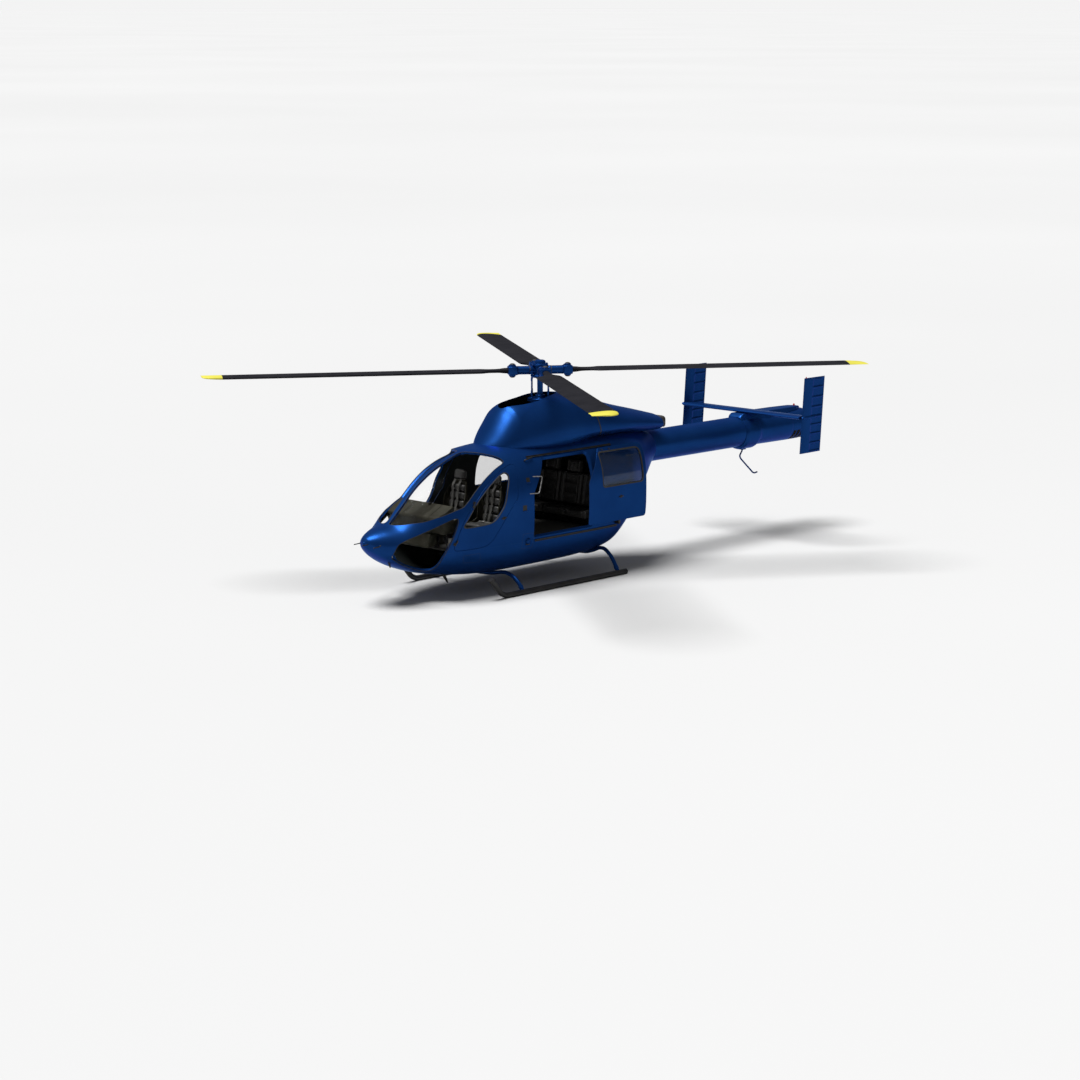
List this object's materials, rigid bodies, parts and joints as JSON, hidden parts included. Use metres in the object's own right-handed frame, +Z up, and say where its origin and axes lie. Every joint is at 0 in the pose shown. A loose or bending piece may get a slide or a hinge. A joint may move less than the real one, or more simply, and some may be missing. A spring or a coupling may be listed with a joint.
{
  "type": "light twin-engine helicopter",
  "caption": "Light helicopter on skids: glazed nose, hollow cabin, crew doors that open, a sliding cabin door left open, a turning rotor and a twin-fin tail with a turning jet can",
  "frame": {"origin": "on the ground under the middle of the whole outline, rotor blades included", "axes": "nose along -X, tail along +X, port side along -Y, up along +Z"},
  "size_m": [10.6765, 8.4524, 3.3302],
  "materials": {
    "blue_paint": "deep metallic blue, glossy",
    "black_paint": "satin black",
    "blade_skin": "matt charcoal composite with a yellow tip",
    "clear_glass": "clear acrylic",
    "tinted_glass": "tinted acrylic",
    "seat_leather": "dark upholstery",
    "shell_plastic": "grey-beige moulding",
    "floor_trim": "dark floor covering",
    "bare_metal": "bare metal"
  },
  "bodies": {
    "airframe": {"nose_shell": "blue_paint", "belly_shell": "blue_paint", "roof_shell": "blue_paint", "windshield_post": "blue_paint", "side_frame_port": "blue_paint", "side_frame_starboard": "blue_paint", "aft_pod": "blue_paint", "windshield_port": "clear_glass", "windshield_starboard": "clear_glass", "chin_window_port": "clear_glass", "chin_window_starboard": "clear_glass", "cabin_door_port": "blue_paint", "cabin_door_starboard": "blue_paint", "cabin_window_port": "tinted_glass", "cabin_window_starboard": "tinted_glass", "lower_rail_port": "black_paint", "lower_rail_starboard": "black_paint", "upper_rail_port": "black_paint", "mast_fairing": "blue_paint", "engine_cowling": "blue_paint", "exhaust_port": "black_paint", "exhaust_starboard": "black_paint", "engine_block": "bare_metal", "gearbox": "bare_metal", "tail_boom": "blue_paint", "tail_section": "blue_paint", "tail_fairing": "blue_paint", "stabiliser": "blue_paint", "fin_port": "blue_paint", "fin_starboard": "blue_paint", "tail_skid": "blue_paint", "skid_port": "black_paint", "skid_starboard": "black_paint", "cross_tube_front": "blue_paint", "cross_tube_rear": "blue_paint", "cabin_floor": "floor_trim", "aft_bulkhead": "floor_trim", "crew_seat_port": "seat_leather", "crew_seat_starboard": "seat_leather", "rear_seat_port": "seat_leather", "rear_seat_middle": "seat_leather", "rear_seat_starboard": "seat_leather", "instrument_panel": "shell_plastic", "centre_console": "shell_plastic"},
    "rotor": {"rotor_mast": "bare_metal", "rotor_hub": "blue_paint", "swashplate": "blue_paint", "rotor_blade_1": "blade_skin", "rotor_blade_2": "blade_skin", "rotor_blade_3": "blade_skin", "rotor_blade_4": "blade_skin"},
    "port_crew_door": {"crew_door_port": "blue_paint", "crew_window_port": "clear_glass"},
    "starboard_crew_door": {"crew_door_starboard": "blue_paint", "crew_window_starboard": "clear_glass"},
    "tail_jet": {"jet_can": "blue_paint"}
  },
  "joints": [
    {"name": "main_rotor", "type": "hinge", "parent": "airframe", "child": "rotor", "pos_m": [-1.1117, 0, 3.174], "axis": [0, 0, 1], "continuous": true},
    {"name": "port_crew_door", "type": "hinge", "parent": "airframe", "child": "port_crew_door", "pos_m": [-3.58782, -0.68551, 0.89129], "axis": [-0.5216, 0.0726, -0.8501], "range_deg": [0, 70]},
    {"name": "starboard_crew_door", "type": "hinge", "parent": "airframe", "child": "starboard_crew_door", "pos_m": [-3.58782, 0.68551, 0.89129], "axis": [0.5216, 0.0726, 0.8501], "range_deg": [0, 70]},
    {"name": "tail_jet", "type": "hinge", "parent": "airframe", "child": "tail_jet", "pos_m": [4.7383, 0, 1.73], "axis": [1, 0, 0], "range_deg": [-45, 45]}
  ]
}
